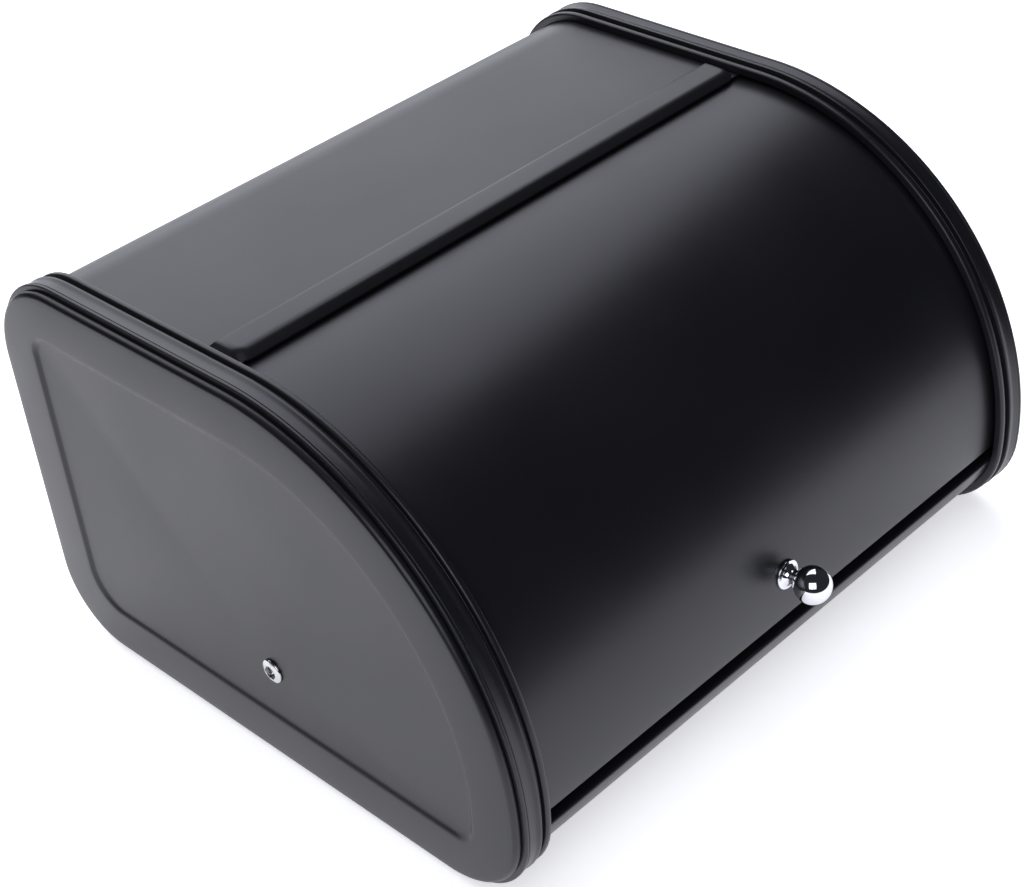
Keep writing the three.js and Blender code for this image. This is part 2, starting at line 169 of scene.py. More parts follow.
def ringFaces(ringCount, pointCount, closed=True):
    # quads between neighbouring rings; closed joins the last ring to the first
    faces = []
    for i in range(ringCount if closed else ringCount - 1):
        here, following = i * pointCount, (i + 1) % ringCount * pointCount
        for j in range(pointCount):
            k = (j + 1) % pointCount
            faces.append((here + j, here + k, following + k, following + j))
    return faces


def sheetStrip(path, thickness, halfWidth):
    # sheet metal folded along a path of (y, z), the full width of the bin's middle
    outer, inner = path, offsetPath(path, thickness)
    count = len(path)
    vertices = [(x, p.x, p.y) for x in (-halfWidth, halfWidth) for p in outer + inner]
    far = 2 * count              # the same points at the other end of the bin
    faces = []
    for i in range(count - 1):
        j = i + 1
        faces.append((i, j, far + j, far + i))
        faces.append((count + j, count + i, far + count + i, far + count + j))
        faces.append((j, i, count + i, count + j))
        faces.append((far + i, far + j, far + count + j, far + count + i))
    faces.append((0, far, far + count, count))
    faces.append((far + count - 1, count - 1, 2 * count - 1, far + 2 * count - 1))
    return vertices, faces


def turned(profile, segments, shape=None):
    # profile of (radius, height) from the axis back to the axis; shape bends a ring's radius
    vertices, rings = [], []
    for i, (radius, height) in enumerate(profile):
        if radius == 0:
            rings.append([len(vertices)])
            vertices.append(Vector((0, 0, height)))
            continue
        rings.append(list(range(len(vertices), len(vertices) + segments)))
        for k in range(segments):
            angle = 2 * math.pi * k / segments
            reach = shape(i, angle, radius) if shape else radius
            vertices.append(Vector((reach * math.cos(angle), reach * math.sin(angle), height)))
    faces = []
    for lower, upper in zip(rings, rings[1:]):
        for k in range(segments):
            following = (k + 1) % segments
            if len(lower) == 1:
                faces.append((lower[0], upper[following], upper[k]))
            elif len(upper) == 1:
                faces.append((lower[k], lower[following], upper[0]))
            else:
                faces.append((lower[k], lower[following], upper[following], upper[k]))
    return vertices, faces


# Polyester powder coat sprayed dry on steel and baked: a satin skin that keeps a faint orange
# peel, so long soft reflections with a slight grain and no brush marks.
powderCoat = {
    "tint": "101012",
    "palerTint": "17171A",     # where the powder lies thinner
    "shine": "F7F7FF",         # carbon black gives the skin a cold sheen
    "ior": 1.5,
    "roughness": 0.36,
    "roughnessSpread": 0.05,
    "peelSize": 0.9,           # mm, one swell of the orange peel
    "peelDepth": 0.012,        # mm
    "grainSize": 0.35,         # mm; the powder's own grain is finer, drawn coarser so it shows
    "grainDepth": 0.004,
    "driftSize": 70,           # mm, patches of thicker and thinner powder
}


def powderCoatedSteel(name, settings):
    shader = {"IOR": settings["ior"], "Specular Tint": hexToLinear(settings["shine"])}
    material, surface, place = newMaterial(name, shader)
    drift = addNode(
        material,
        "ShaderNodeTexNoise",
        {"Scale": mmScale(settings["driftSize"]), "Detail": 3.0, "Roughness": 0.55},
        {"Vector": place},
    )
    grain = addNode(
        material,
        "ShaderNodeTexNoise",
        {"Scale": mmScale(settings["grainSize"]), "Detail": 2.0, "Roughness": 0.6},
        {"Vector": place},
    )
    peel = addNode(
        material,
        "ShaderNodeTexNoise",
        {"Scale": mmScale(settings["peelSize"]), "Detail": 1.0, "Roughness": 0.4},
        {"Vector": place},
    )
    tint = addNode(
        material,
        "ShaderNodeMix",
        {
            "data_type": "RGBA",
            6: hexToLinear(settings["tint"]),
            7: hexToLinear(settings["palerTint"]),
        },
        {0: drift.outputs["Fac"]},
    )
    low = settings["roughness"] - settings["roughnessSpread"]
    high = settings["roughness"] + settings["roughnessSpread"]
    blend = addNode(
        material,
        "ShaderNodeMix",
        {"data_type": "FLOAT", 0: 0.4},
        {2: drift.outputs["Fac"], 3: grain.outputs["Fac"]},
    )
    gloss = addNode(
        material,
        "ShaderNodeMapRange",
        {"From Min": 0.3, "From Max": 0.7, "To Min": low, "To Max": high},
        {"Value": blend.outputs[0]},
    )
    peelBump = addNode(
        material,
        "ShaderNodeBump",
        {"Strength": 1.0, "Distance": settings["peelDepth"] * mm},
        {"Height": peel.outputs["Fac"]},
    )
    grainBump = addNode(
        material,
        "ShaderNodeBump",
        {"Strength": 1.0, "Distance": settings["grainDepth"] * mm},
        {"Height": grain.outputs["Fac"], "Normal": peelBump.outputs["Normal"]},
    )
    links = material.node_tree.links
    links.new(tint.outputs[2], surface.inputs["Base Color"])
    links.new(gloss.outputs["Result"], surface.inputs["Roughness"])
    links.new(grainBump.outputs["Normal"], surface.inputs["Normal"])
    return material


# Bright metals: polished and plated, or plated over a turned surface. They mirror the room, with
# faint rubbing marks that only show in the highlights.
bareMetals = {
    "polished_chrome": {
        "name": "polishedChromePlate", "tint": "E9EAEE", "darkTint": "D9DBE2",
        "roughness": 0.05, "spread": 0.03, "markSize": 1.6, "markDepth": 0.0006,
    },
    "bright_nickel": {
        "name": "brightNickelPlate", "tint": "DCDCDD", "darkTint": "B8B9BC",
        "roughness": 0.16, "spread": 0.06, "markSize": 0.8, "markDepth": 0.0012,
    },
    "zinc_steel": {
        "name": "zincPlatedSteel", "tint": "C3C6C8", "darkTint": "9EA3A6",
        "roughness": 0.36, "spread": 0.1, "markSize": 0.6, "markDepth": 0.003,
    },
}


def platedMetal(settings):
    material, surface, place = newMaterial(settings["name"], {"Metallic": 1.0})
    marks = addNode(
        material,
        "ShaderNodeTexNoise",
        {"Scale": mmScale(settings["markSize"]), "Detail": 4.0, "Roughness": 0.65},
        {"Vector": place},
    )
    tint = addNode(
        material,
        "ShaderNodeMix",
        {
            "data_type": "RGBA",
            6: hexToLinear(settings["tint"]),
            7: hexToLinear(settings["darkTint"]),
        },
        {0: marks.outputs["Fac"]},
    )
    gloss = addNode(
        material,
        "ShaderNodeMapRange",
        {
            "From Min": 0.35,
            "From Max": 0.7,
            "To Min": settings["roughness"],
            "To Max": settings["roughness"] + settings["spread"],
        },
        {"Value": marks.outputs["Fac"]},
    )
    bump = addNode(
        material,
        "ShaderNodeBump",
        {"Strength": 1.0, "Distance": settings["markDepth"] * mm},
        {"Height": marks.outputs["Fac"]},
    )
    links = material.node_tree.links
    links.new(tint.outputs[2], surface.inputs["Base Color"])
    links.new(gloss.outputs["Result"], surface.inputs["Roughness"])
    links.new(bump.outputs["Normal"], surface.inputs["Normal"])
    return material


# Small inner pieces: PA6 nylon as it leaves the mould, slightly cloudy, and red vulcanised fibre
# punched from pressed sheet, dull with a felted grain.
plainSolids = {
    "nylon": {
        "name": "mouldedNylon", "tint": "E6E3DA", "darkTint": "D6D1C3", "ior": 1.53,
        "roughness": 0.5, "grainSize": 1.2, "grainDepth": 0.01,
    },
    "fibre": {
        "name": "vulcanisedFibre", "tint": "7A2F27", "darkTint": "5A201B", "ior": 1.5,
        "roughness": 0.8, "grainSize": 0.5, "grainDepth": 0.02,
    },
}


def grainySolid(settings):
    shader = {"IOR": settings["ior"], "Roughness": settings["roughness"]}
    material, surface, place = newMaterial(settings["name"], shader)
    grain = addNode(
        material,
        "ShaderNodeTexNoise",
        {"Scale": mmScale(settings["grainSize"]), "Detail": 3.0},
        {"Vector": place},
    )
    tint = addNode(
        material,
        "ShaderNodeMix",
        {
            "data_type": "RGBA",
            6: hexToLinear(settings["tint"]),
            7: hexToLinear(settings["darkTint"]),
        },
        {0: grain.outputs["Fac"]},
    )
    bump = addNode(
        material,
        "ShaderNodeBump",
        {"Strength": 1.0, "Distance": settings["grainDepth"] * mm},
        {"Height": grain.outputs["Fac"]},
    )
    links = material.node_tree.links
    links.new(tint.outputs[2], surface.inputs["Base Color"])
    links.new(bump.outputs["Normal"], surface.inputs["Normal"])
    return material


looks = {
    "case_paint": powderCoatedSteel("satinBlackPowderCoat", powderCoat),
    # hands rub the lid a touch smoother
    "lid_paint": powderCoatedSteel("satinBlackLidCoat", {**powderCoat, "roughness": 0.34}),
}
for slotName, settings in bareMetals.items():
    looks[slotName] = platedMetal(settings)
for slotName, settings in plainSolids.items():
    looks[slotName] = grainySolid(settings)


def look(slotName):
    return {"slot": slotName, "material": looks[slotName]}


print("materials made:", len(looks))

# The bin's D shape, seen from the end.
bandLow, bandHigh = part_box("right_rim_band")
panelLow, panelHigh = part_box("right_end_panel")
dShape = {
    "arcRadius": pivot.y - bandLow.y,
    "top": bandHigh.z,
    "back": bandHigh.y,
    "halfLength": panelHigh.x,
    "backTop": 40 * mm,        # corner radii at the rim
    "backBottom": 32 * mm,
    "frontBottom": 39 * mm,
    "arcSteps": 76,
    "cornerSteps": 16,
}


def dOutline(inset, corners=None, bottomInset=None, backInset=None):
    # closed outline in (y, z), from the top above the pivot down the front and round to the back
    bottomInset = inset if bottomInset is None else bottomInset
    backInset = inset if backInset is None else backInset
    corners = corners or [dShape[key] - inset for key in ("backTop", "backBottom", "frontBottom")]
    backTop, backBottom, frontBottom = corners
    radius = dShape["arcRadius"] - inset
    lowZ = bottomInset + frontBottom
    reach = radius - frontBottom
    drop = pivot.z - lowZ
    lowCentre = (pivot.y - math.sqrt(reach ** 2 - drop ** 2), lowZ)
    arcEnd = 180 + math.degrees(math.asin(drop / reach))
    back = dShape["back"] - backInset
    backLow = (back - backBottom, bottomInset + backBottom)
    backHigh = (back - backTop, dShape["top"] - inset - backTop)
    steps = dShape["cornerSteps"]
    arc = circlePoints((pivot.y, pivot.z), radius, 90, arcEnd, dShape["arcSteps"])[:-1]
    return (
        arc
        + circlePoints(lowCentre, frontBottom, arcEnd, 270, steps)
        + circlePoints(backLow, backBottom, 270, 360, steps)
        + circlePoints(backHigh, backTop, 0, 90, steps)
    )


def hoop(rings):
    # closed hoop through rings of (x, outline)
    vertices = [(x, p.x, p.y) for x, outline in rings for p in outline]
    return vertices, ringFaces(len(rings), len(rings[0][1]))


# End panels: pressed plates with a sunk field, the edge rolled over.
endPanel = {
    "sheet": 0.6 * mm,
    "fieldMargin": 21.2 * mm,      # rim to the sunk field
    "fieldMarginBottom": 22.6 * mm,
    "fieldMarginBack": 23.4 * mm,
    "fieldDrop": 1.2 * mm,         # the middle of the panel is pressed in by this much
    "fieldSlope": 3.0 * mm,
    "fieldSteps": 12,
    "fieldCorners": [8 * mm, 15 * mm, 8 * mm],
    "marginCrown": 0.7 * mm,       # the margin falls away towards the rim by this much
    "marginSteps": 9,
    "edgeRadius": 2.2 * mm,        # the margin rolls over into the edge
    "edgeTilt": 7,                 # degrees, where the edge's roll starts
    "edgeStep": 8,
    "innerEdgeStep": 15,
    "edgeInset": 1.9 * mm,
    "edgeHem": 0.7 * mm,
    "hemDrop": 0.25 * mm,
    "holeRadius": 3.8 * mm,
}


def pressedPanel(side):
    p = endPanel
    sheet = p["sheet"]
    crestDepth = p["marginCrown"] + p["edgeRadius"]
    hemEnd = crestDepth + p["edgeHem"]
    edgeStart = p["edgeInset"] + p["edgeRadius"]

    def at(depth, outline):
        return (side * (dShape["halfLength"] - depth), outline)

    def field(share, extra):
        # share runs from 0 at the top of the step to 1 at the edge of the sunk field
        slope = share * p["fieldSlope"]
        depth = p["fieldDrop"] * (1 - math.cos(math.pi * share)) / 2 + extra
        bottom, back = p["fieldMarginBottom"] + slope, p["fieldMarginBack"] + slope
        corners = [corner + p["fieldSlope"] * (1 - share) / 2 for corner in p["fieldCorners"]]
        return at(depth, dOutline(p["fieldMargin"] + slope, corners, bottom, back))

    def margin(share, extra):
        # from the top of the step (0) to the start of the rounded edge (1)
        insets = [p["fieldMargin"], p["fieldMarginBottom"], p["fieldMarginBack"]]
        inset, bottom, back = [start + (edgeStart - start) * share for start in insets]
        inner = [corner + p["fieldSlope"] / 2 for corner in p["fieldCorners"]]
        edges = [dShape[key] - edgeStart for key in ("backTop", "backBottom", "frontBottom")]
        corners = [a + (b - a) * share for a, b in zip(inner, edges)]
        depth = p["marginCrown"] * share ** 2 + extra
        return at(depth, dOutline(inset, corners, bottom, back))

    def edge(radius, angle):
        run = math.radians(angle)
        inset = p["edgeInset"] + p["edgeRadius"] - radius * math.sin(run)
        return at(crestDepth - radius * math.cos(run), dOutline(inset))

    def hole(depth):
        ring = []
        for point in dOutline(0):
            way = (point - pivot.yz).normalized()
            ring.append(pivot.yz + way * p["holeRadius"])
        return at(depth, ring)

    shares = [i / p["fieldSteps"] for i in range(p["fieldSteps"] + 1)]
    marginShares = [i / p["marginSteps"] for i in range(1, p["marginSteps"])]
    outside = [hole(p["fieldDrop"])] + [field(share, 0) for share in reversed(shares)]
    outside += [margin(share, 0) for share in marginShares]
    outside += [edge(p["edgeRadius"], angle) for angle in range(p["edgeTilt"], 91, p["edgeStep"])]
    outside += [at(hemEnd, dOutline(p["edgeInset"] + p["hemDrop"]))]
    inside = [at(hemEnd, dOutline(p["edgeInset"] + p["hemDrop"] + sheet))]
    innerAngles = range(90, p["edgeTilt"], -p["innerEdgeStep"])
    inside += [edge(p["edgeRadius"] - sheet, angle) for angle in innerAngles]
    inside += [margin(share, sheet) for share in reversed(marginShares)]
    inside += [field(share, sheet) for share in shares] + [hole(p["fieldDrop"] + sheet)]
    return hoop(outside + inside)


for sideName, side in sides.items():
    vertices, faces = pressedPanel(side)
    stands = [sideName + "_end_panel"]
    makePiece(sideName + "EndPanel", vertices, faces, look("case_paint"), "case", stands)
print("end panels pressed")

# Section of the hoop beside each panel, from the flange under the panel's edge to the wall beside
# the lid: (depth from the panel's outer face, inset from the rim, bend radius), in mm.
rimBand = {
    "flangeStart": 2.1,
    "flange": 3.05,
    "roll": 3.9,             # outer roll, which the bin stands on
    "rollWidth": 1.5,
    "notchWidth": 0.2,
    "notchDrop": 0.5,
    "coveWidth": 3.8,
    "coveDrop": 0.55,
    "coveRise": 1.4,
    "ridgeWidth": 1.2,
    "ridgeDrop": 0.2,
    "creaseDrop": 2.6,
    "beadWidth": 2.9,
    "beadDrop": 0.5,
    "width": 17,
    "foot": 3.7,
    "sheet": 0.6,
    "lean": 0.2,             # a step between two levels leans over by this much
    "bend": 0.4,
    "rollBend": 0.55,
    "coveBend": 6,
    "coveEndBend": 3,
    "beadBend": 1.1,
    "innerBeadBend": 0.5,
}


def rolledBand(side):
    b = rimBand
    roll = b["roll"]
    notch = roll + b["rollWidth"]
    cove = notch + b["notchWidth"]
    coveEnd = cove + b["coveWidth"]
    ridge = coveEnd + b["coveRise"]
    crease = ridge + b["ridgeWidth"]
    bead = b["width"] - b["beadWidth"]
    lean, bend, beadBend = b["lean"], b["bend"], b["beadBend"]
    # the few offsets left as numbers only soften a corner, by tenths of a millimetre
    outside = [
        (b["flangeStart"], b["flange"], 0),
        (roll, b["flange"], 0.25),
        (roll + lean, 0, b["rollBend"]),
        (notch, 0, bend),
        (notch + 0.12, b["notchDrop"], 0.05),
        (cove + 0.05, 0.05, 0.25),
        (cove + 0.4 * b["coveWidth"], 0.6 * b["coveDrop"], b["coveBend"]),
        (coveEnd, b["coveDrop"] + 0.1, b["coveEndBend"]),
        (ridge + lean / 2, b["ridgeDrop"], bend),
        (crease - lean / 2, b["ridgeDrop"], bend),
        (crease + lean, b["creaseDrop"], bend),
        (bead, b["creaseDrop"], bend),
        (bead + lean, b["beadDrop"], beadBend),
        (b["width"], b["beadDrop"], beadBend),
        (b["width"], b["foot"], 0),
    ]
    sheet, innerBead = b["sheet"], b["innerBeadBend"]
    inside = [
        (b["width"] - sheet, b["foot"], 0),
        (b["width"] - sheet, b["beadDrop"] + sheet, innerBead),
        (bead + lean + sheet, b["beadDrop"] + sheet, innerBead),
        (bead + 2 * lean, b["creaseDrop"] + sheet, bend),
        (crease - 0.3, b["creaseDrop"] + sheet, bend),
        (crease - 0.5, b["ridgeDrop"] + 1.6, bend),
        (coveEnd, b["coveDrop"] + 0.2 + sheet, 1),
        (cove, b["notchDrop"] + 0.8, 1),
        (roll + sheet, b["notchDrop"] + 0.7, 0.3),
        (roll + sheet - 0.1, b["flange"] + sheet, bend),
        (b["flangeStart"], b["flange"] + sheet, 0),
    ]
    section = roundedPath(outside) + roundedPath(inside)
    halfLength = dShape["halfLength"]
    return hoop([(side * (halfLength - p.x * mm), dOutline(p.y * mm)) for p in section])


for sideName, side in sides.items():
    vertices, faces = rolledBand(side)
    stands = [sideName + "_rim_band"]
    makePiece(sideName + "RimBand", vertices, faces, look("case_paint"), "case", stands, 40)
print("rim bands rolled")

# One sheet wrapped over the top, back and bottom, ending in the front sill.
shellLow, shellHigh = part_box("body_shell")
bodySheet = {
    "sheet": 0.6 * mm,
    "sillHeight": 31.2 * mm,
    "sillFold": 1.1 * mm,        # the sill's edge turns in over this radius
    "sillLedge": 11 * mm,
    "foldSteps": 12,
    "foldGap": 0.5 * mm,         # the rim's curve takes over this far below the fold
    "headerLap": 0.9 * mm,       # the top sheet starts this far in under the header
}


def bodyPath():
    b = bodySheet
    proud = shellLow.z               # the sheet lies this far inside the rim
    rim = dOutline(proud)[dShape["arcSteps"]:]
    corner = dShape["frontBottom"] - proud
    reach = dShape["arcRadius"] - dShape["frontBottom"]
    cornerY = pivot.y - math.sqrt(reach ** 2 - (pivot.z - dShape["frontBottom"]) ** 2)
    foldZ = b["sillHeight"] - b["sillFold"]
    foldReach = corner - b["sillFold"]
    foldDrop = dShape["frontBottom"] - foldZ
    foldCentre = (cornerY - math.sqrt(foldReach ** 2 - foldDrop ** 2), foldZ)
    foldAngle = 180 + math.degrees(math.asin(foldDrop / foldReach))
    fold = circlePoints(foldCentre, b["sillFold"], 90, foldAngle, b["foldSteps"])
    rest = [p for p in rim if p.y < fold[-1].y - b["foldGap"] or p.x > pivot.y]
    ledge = Vector((foldCentre[0] + b["sillLedge"], b["sillHeight"]))
    return [ledge] + fold + rest + [Vector((headerLow.y + b["headerLap"], shellHigh.z))]


headerLow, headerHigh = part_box("header_strip")
vertices, faces = sheetStrip(list(reversed(bodyPath())), bodySheet["sheet"], shellHigh.x)
makePiece("bodySheet", vertices, faces, look("case_paint"), "case", ["body_shell"])
print("body sheet folded")

# A shallow pressed cap over the front end of the top sheet, with soft folds round its flat top.
header = {
    "lip": 3.9 * mm,             # front lip below the cap's top
    "lean": 3.2 * mm,            # the sides lean in this far
    "corner": 6.5 * mm,
    "topBend": 4 * mm,
    "topFlat": 4.2 * mm,         # the flat top is drawn this far in past the bend
    "footStep": 0.1 * mm,
    "seat": 0.05 * mm,           # above the top sheet
    "leastCorner": 0.4 * mm,
    "cornerSteps": 12,
    "sheet": 0.6 * mm,
}


def headerRing(inset, frontZ, restZ):
    h = header
    halfX = headerHigh.x - inset
    front, back = headerLow.y + inset, headerHigh.y - inset
    radius = max(h["corner"] - inset, h["leastCorner"])
    steps = h["cornerSteps"]
    plan = [Vector((halfX, back)), Vector((-halfX, back))]
    plan += circlePoints((-halfX + radius, front + radius), radius, 180, 270, steps)
    plan += circlePoints((halfX - radius, front + radius), radius, 270, 360, steps)
    ring = []
    for p in plan:
        # only the front hangs below the sheet, and it fades out round the corners
        share = min(max((p.y - front) / radius, 0), 1)
        ring.append(Vector((p.x, p.y, frontZ + (restZ - frontZ) * share)))
    return ring


def headerCap():
    h = header
    top = headerHigh.z
    foot = shellHigh.z + h["seat"]
    rise = top - foot
    slope = roundedPath([
        (0, 0, 0),
        (0, h["footStep"], h["footStep"]),
        (h["lean"], rise, h["topBend"]),
        (h["lean"] + h["topFlat"], rise, 0),
    ], turnStep=7)
    rings = [headerRing(0, top - h["lip"], foot)]
    rings += [headerRing(p.x, foot + p.y, foot + p.y) for p in slope]
    inner = []
    for p in slope[:-1]:
        height = foot + p.y - h["sheet"]
        ring = headerRing(p.x + h["sheet"], height, height)
        if ring[0].z > foot:
            inner.append(ring)
    lower = headerRing(h["sheet"], top - h["lip"], foot)
    count = len(rings[0])
    vertices = [p for ring in rings for p in ring]
    faces = ringFaces(len(rings), count, closed=False)
    last = (len(rings) - 1) * count
    faces.append(tuple(last + k for k in range(count)))
    start = len(vertices)
    under = [lower] + inner
    vertices += [p for ring in under for p in ring]
    for k in range(count):
        following = (k + 1) % count
        faces.append((following, k, start + k, start + following))
    for i in range(len(under) - 1):
        here = start + i * count
        for k in range(count):
            following = (k + 1) % count
            faces.append((here + following, here + k, here + count + k, here + count + following))
    faces.append(tuple(start + (len(under) - 1) * count + k for k in reversed(range(count))))
    return vertices, faces


vertices, faces = headerCap()
makePiece("headerStrip", vertices, faces, look("case_paint"), "case", ["header_strip"], 50)
print("header strip pressed")

# The curved lid, its lower edge turned in as a rail.
lidLow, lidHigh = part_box("roll_lid")
rollLid = {
    "sheet": 0.6 * mm,
    "lowAngle": -5.4,            # degrees above the pivot's level
    "highAngle": 99,
    "rail": 6 * mm,              # the lower edge turns in this far
    "railBend": 1.2 * mm,
    "arcSteps": 104,
    "railEdge": 0.8 * mm,
}


def lidPoint(angle, radius):
    turn = math.radians(angle)
    return Vector((pivot.y - radius * math.cos(turn), pivot.z + radius * math.sin(turn)))


lidRadius = lidHigh.z - pivot.z


def lidPath():
    r = rollLid
    fold = lidPoint(r["lowAngle"], lidRadius - r["rail"])
    low, high = 180 - r["lowAngle"], 180 - r["highAngle"]
    arc = circlePoints(pivot.yz, lidRadius, low, high, r["arcSteps"])
    start = roundedPath([
        (fold.x, lidLow.z, 0),
        (fold.x, fold.y, r["railEdge"]),
        (arc[0].x, arc[0].y, r["railBend"]),
        (arc[2].x, arc[2].y, 0),
    ])
    return start[:-1] + arc[2:]


vertices, faces = sheetStrip(lidPath(), rollLid["sheet"], lidHigh.x)
makePiece("rollLid", vertices, faces, look("lid_paint"), "lid", ["roll_lid"])
print("lid rolled")

# A turned knob: flared base, neck and ball.
knobShape = {
    "angle": 4.5,                # degrees above the pivot's level
    "ball": 7.3 * mm,
    "reach": 12 * mm,            # ball centre from the lid
    "base": 5.8 * mm,
    "baseEdge": 0.9 * mm,
    "baseFootBend": 0.3 * mm,
    "baseTopBend": 0.35 * mm,
    "flare": (0.74, 0.24, 1.2 * mm),     # share of the base, share of the height, bend
    "waist": (0.96, 0.55, 2.5 * mm),     # share of the neck, share of the height, bend
    "neck": 2.9 * mm,
    "neckBend": 0.4 * mm,
    "ballSteps": 34,
    "bore": 1.8 * mm,
    "boreDepth": 8 * mm,
    "seat": 0.05 * mm,
    "segments": 72,
}


def knobTurning():
    k = knobShape
    start = -math.degrees(math.acos(k["neck"] / k["ball"]))
    sphere = circlePoints((0, k["reach"]), k["ball"], start, 90, k["ballSteps"])
    ball = [(p.x, p.y) for p in sphere]
    neckTop = ball[0][1]
    flareWidth, flareRise, flareBend = k["flare"]
    waistWidth, waistRise, waistBend = k["waist"]
    base = roundedPath([
        (k["bore"], k["seat"], 0),
        (k["base"], k["seat"], k["baseFootBend"]),
        (k["base"], k["seat"] + k["baseEdge"], k["baseTopBend"]),
        (flareWidth * k["base"], k["seat"] + flareRise * neckTop, flareBend),
        (waistWidth * k["neck"], waistRise * neckTop, waistBend),
        (0.97 * k["neck"], neckTop - 0.1 * mm, k["neckBend"]),
        (1.4 * k["neck"], neckTop + 0.3 * mm, 0),    # only aims the last bend into the ball
    ])[:-1]
    bore = [(0, k["boreDepth"]), (k["bore"], k["boreDepth"])]
    profile = bore + [(p.x, p.y) for p in base] + ball[1:-1] + [(0, k["reach"] + k["ball"])]
    return turned(profile, k["segments"])


def standOn(vertices, point, direction):
    # turned pieces are made along +Z, and this stands them on the bin
    turn = Vector((0, 0, 1)).rotation_difference(direction).to_matrix()
    return [point + turn @ Vector(v) for v in vertices]


knobWay = lidPoint(knobShape["angle"], 1) - pivot.yz
knobFoot = lidPoint(knobShape["angle"], lidRadius)
vertices, faces = knobTurning()
knobPlace = Vector((0, knobFoot.x, knobFoot.y))
vertices = standOn(vertices, knobPlace, Vector((0, knobWay.x, knobWay.y)))
makePiece("knobBall", vertices, faces, look("polished_chrome"), "lid", ["knob"])
print("knob turned")

# Pivot posts: a round head with a hexagon socket, on a shank.
pivotPost = {
    "shank": 3.5 * mm,
    "head": 5 * mm,
    "headHeight": 1.6 * mm,
    "seat": 0.05 * mm,           # under the head
    "across": 5 * mm,            # hexagon socket, across flats
    "socketDepth": 1.3 * mm,
    "shankBend": 0.3 * mm,
    "headEdge": 0.25 * mm,
    "domeStart": 0.55,           # share of the head's height where it rounds over
    "domeBend": 0.9 * mm,
    "flatBend": 0.5 * mm,
    "rimFlat": 0.45 * mm,
    "socketLip": 0.35 * mm,
    "chamfer": 0.15 * mm,
    "chamferDrop": 0.08 * mm,
    "socketWall": 0.3 * mm,      # the socket's straight wall starts this deep
    "drillShare": 0.6,           # the socket's floor is a blunt cone
    "drillEdge": 0.25 * mm,
    "drillTip": 0.45 * mm,
    "bore": 2.2 * mm,
    "boreLength": 7 * mm,
    "segments": 72,
}


fieldX = dShape["halfLength"] - endPanel["fieldDrop"]


def socketHead():
    p = pivotPost
    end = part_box("right_pivot_post")[0].x - fieldX
    top = p["seat"] + p["headHeight"]
    hexRadius = p["across"] / 2
    outer = [(q.x, q.y) for q in roundedPath([
        (0, end + p["boreLength"], 0),
        (p["bore"], end + p["boreLength"], 0),
        (p["bore"], end, 0),
        (p["shank"], end, p["shankBend"]),
        (p["shank"], p["seat"], 0),
        (p["head"], p["seat"], p["headEdge"]),
        (p["head"], p["seat"] + p["domeStart"] * p["headHeight"], p["domeBend"]),
        (hexRadius + 1.5 * p["rimFlat"], top, p["flatBend"]),
        (hexRadius + p["socketLip"], top, 0),
    ])]
    inner = [
        (hexRadius + p["chamfer"], top - p["chamferDrop"]),
        (hexRadius, top - p["socketWall"]),
        (hexRadius, top - p["socketDepth"]),
        (p["drillShare"] * hexRadius, top - p["socketDepth"] - p["drillEdge"]),
        (0, top - p["socketDepth"] - p["drillTip"]),
    ]

    def hexagon(i, angle, radius):
        # the socket's rings are six-sided, the rest of the post is round
        if i < len(outer):
            return radius
        sixth = math.pi / 3
        return radius / math.cos((angle + sixth / 2) % sixth - sixth / 2)

    return turned(outer + inner, p["segments"], hexagon)


for sideName, side in sides.items():
    vertices, faces = socketHead()
    place = Vector((side * fieldX, pivot.y, pivot.z))
    vertices = standOn(vertices, place, Vector((side, 0, 0)))
    stands = [sideName + "_pivot_post"]
    makePiece(sideName + "PivotPost", vertices, faces, look("bright_nickel"), "case", stands)
print("pivot posts turned")

# Parts kept from the frame only get their finishes.
slotOf = {part["node"]: part["material_slot"] for part in frame["record"]["subparts"]}
keptParts = ["lid_arm", "pivot_spacer", "pivot_washer", "pivot_screw"]
keptNames = [f"{sideName}_{part}" for sideName in sides for part in keptParts]
keptNames += ["knob_washer", "knob_screw"]
for name in keptNames:
    part = frame["nodes"][name]
    part.data.materials.clear()
    part.data.materials.append(looks[slotOf[name]])
print("kept parts finished:", len(keptNames))

# Floor, light and camera.
studio = {
    "floorCentre": (0.12, 0.2),
    # the table top ends in front of the bin, and the room past it is dark
    "floorRadius": 0.68,
    "floorRings": (0.1, 0.3, 0.6, 1),
    "floorSegments": 96,
    "floorDrop": 0.2 * mm,       # below the bin's feet
    "floorTint": "F4F4F5",
    "cloudTint": "EFEFF1",
    "cloudScale": 3.0,           # clouds about a third of a metre across
    "floorGlow": 0.62,           # the table top is lit through from below
    "worldTint": "2A2B2F",
    "lampTint": "F5F6FF",
}


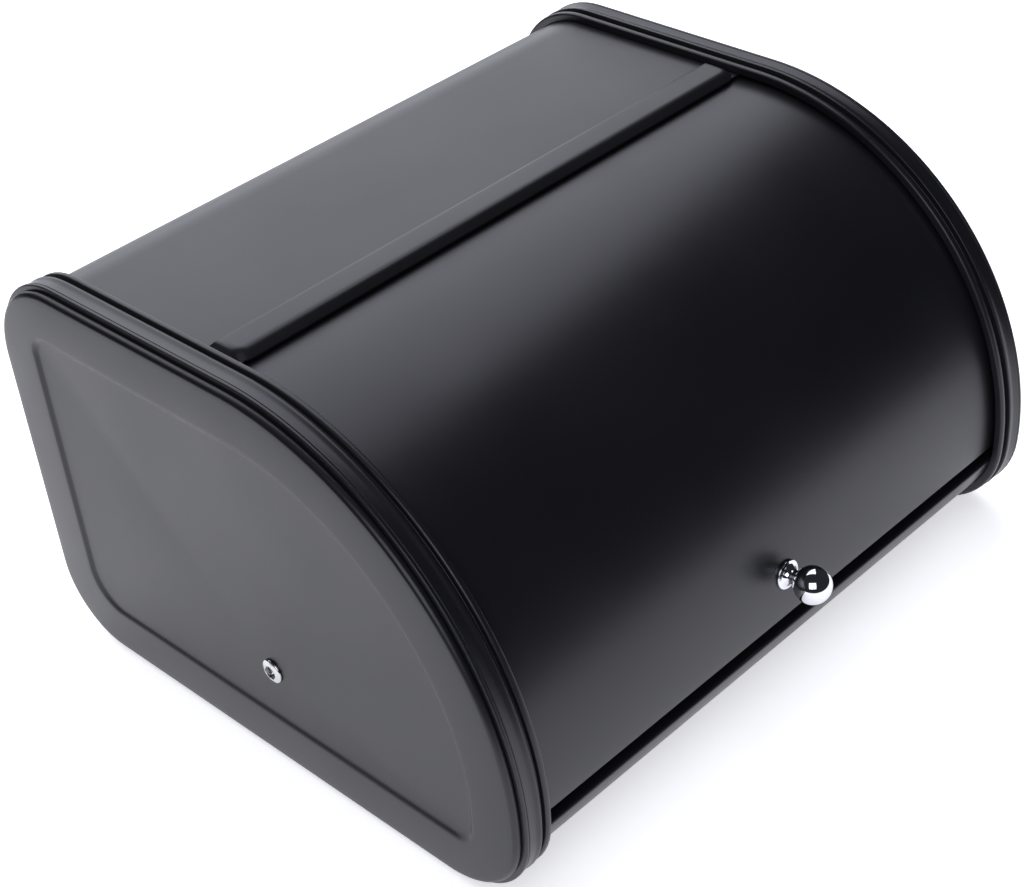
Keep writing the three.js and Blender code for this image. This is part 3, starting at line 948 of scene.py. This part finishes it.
def makeFloor():
    rings = [studio["floorRadius"] * share for share in studio["floorRings"]]
    centre = Vector((*studio["floorCentre"], -studio["floorDrop"]))
    vertices, count = [centre], studio["floorSegments"]
    for radius in rings:
        ring = circlePoints(centre, radius, 0, 360, count)[:-1]
        vertices += [Vector((p.x, p.y, centre.z)) for p in ring]
    faces = [(0, 1 + k, 1 + (k + 1) % count) for k in range(count)]
    for i in range(len(rings) - 1):
        here = 1 + i * count
        for k in range(count):
            following = (k + 1) % count
            outer = here + count
            faces.append((here + k, outer + k, outer + following, here + following))
    mesh = bpy.data.meshes.new("paleTable")
    mesh.from_pydata(vertices, [], faces)
    floor = bpy.data.objects.new("paleTable", mesh)
    bpy.context.scene.collection.objects.link(floor)
    tint = hexToLinear(studio["floorTint"])
    material, surface, place = newMaterial(
        "paleTableTop",
        {"Roughness": 0.9, "Emission Color": tint, "Emission Strength": studio["floorGlow"]},
    )
    cloud = addNode(
        material,
        "ShaderNodeTexNoise",
        {"Scale": studio["cloudScale"]},
        {"Vector": place},
    )
    shade = addNode(
        material,
        "ShaderNodeMix",
        {"data_type": "RGBA", 6: tint, 7: hexToLinear(studio["cloudTint"])},
        {0: cloud.outputs["Fac"]},
    )
    material.node_tree.links.new(shade.outputs[2], surface.inputs["Base Color"])
    mesh.materials.append(material)


# Softboxes: where each one is and what it looks at, its turn about that line in degrees, its
# width and height, and watts. Those that only fill the table stay out of the mirror view of the
# glossy paint.
softboxes = {
    "overheadSoftbox": {
        "place": (0.61, 1.19, 1.0), "aim": (0.61, 1.19, 0), "turn": 39,
        "size": (2.1, 1.8), "watts": 24, "mirrored": True,
    },
    "backWall": {
        "place": (0.95, 1.9, 0.45), "aim": (0, 0, 0.45), "turn": 0,
        "size": (1.8, 0.9), "watts": 9, "mirrored": True,
    },
    "frontWindow": {
        "place": (-1.3, -1.1, 1.1), "aim": (0, 0, 0.1), "turn": 0,
        "size": (1.4, 1.2), "watts": 14, "mirrored": True,
    },
    "tableFill": {
        "place": (-0.1, 0, 2.0), "aim": (-0.1, 0, 0), "turn": 0,
        "size": (2.6, 2.6), "watts": 32, "mirrored": False,
    },
}


def makeSoftbox(name, settings):
    lamp = bpy.data.lights.new(name, "AREA")
    lamp.shape = "RECTANGLE"
    lamp.size, lamp.size_y = settings["size"]
    lamp.energy = settings["watts"]
    lamp.color = hexToLinear(studio["lampTint"])[:3]
    box = bpy.data.objects.new(name, lamp)
    box.location = settings["place"]
    way = Vector(settings["aim"]) - box.location
    turn = Matrix.Rotation(math.radians(settings["turn"]), 3, -way)
    box.rotation_euler = (turn @ way.to_track_quat("-Z", "Y").to_matrix()).to_euler()
    box.visible_glossy = settings["mirrored"]
    bpy.context.scene.collection.objects.link(box)


cameraView = {
    "fromPivot": (-0.46064, -0.48462, 0.49438),
    "turn": (53.3076, 4.3667, -46.6068),
    "lens": 72.962,
    "sensor": 36,
    "shift": (-0.035091, 0.035397),
}


def makeCamera():
    lens = bpy.data.cameras.new("binCamera")
    lens.lens = cameraView["lens"]
    lens.sensor_width = cameraView["sensor"]
    lens.sensor_fit = "HORIZONTAL"
    lens.shift_x, lens.shift_y = cameraView["shift"]
    camera = bpy.data.objects.new("binCamera", lens)
    camera.location = pivot + Vector(cameraView["fromPivot"])
    camera.rotation_euler = Euler([math.radians(a) for a in cameraView["turn"]])
    bpy.context.scene.collection.objects.link(camera)
    bpy.context.scene.camera = camera


def makeWorld():
    world = bpy.data.worlds.new("dimStudio")
    world.use_nodes = True
    background = world.node_tree.nodes["Background"]
    background.inputs["Color"].default_value = hexToLinear(studio["worldTint"])
    bpy.context.scene.world = world


makeFloor()
for name, settings in softboxes.items():
    makeSoftbox(name, settings)
makeCamera()
makeWorld()
bpy.context.scene.view_settings.view_transform = "Standard"
print("studio set")
